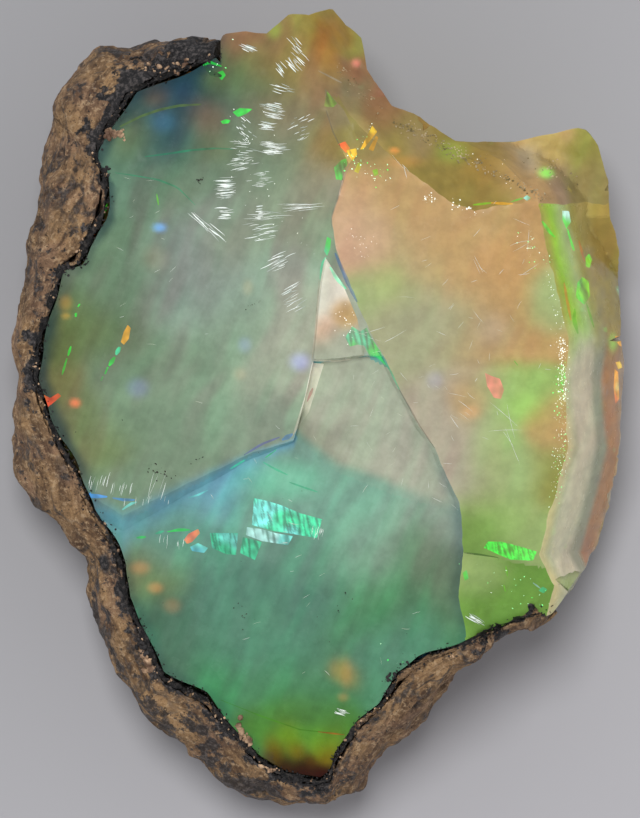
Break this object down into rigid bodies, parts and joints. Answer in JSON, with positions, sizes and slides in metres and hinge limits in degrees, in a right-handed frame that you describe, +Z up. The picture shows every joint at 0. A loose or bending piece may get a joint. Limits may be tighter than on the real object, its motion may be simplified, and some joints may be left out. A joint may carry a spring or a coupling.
{
  "type": "rough opal specimen",
  "caption": "Broken chunk of rough precious opal, still wrapped along its left, lower and under sides in a thin clayey host rock with a black manganese skin, lying on a worn flat.",
  "frame": {"origin": "centre of the chunk's outline seen from above, on the surface it lies on", "axes": "+Z up, out of the fresh broken faces; +Y along the longest side, towards the spike; +X towards the side that is free of rock"},
  "size_m": [0.0276, 0.0362, 0.0134],
  "materials": {
    "opal": "glassy conchoidal fracture, milky translucent body with play of colour",
    "manganese_skin": "crusty satin black mineral film",
    "host_rock": "dull, pitted and streaked clayey rock"
  },
  "bodies": {
    "root": {"opal_body": "opal", "manganese_skin": "manganese_skin", "host_rock": "host_rock"}
  },
  "joints": []
}
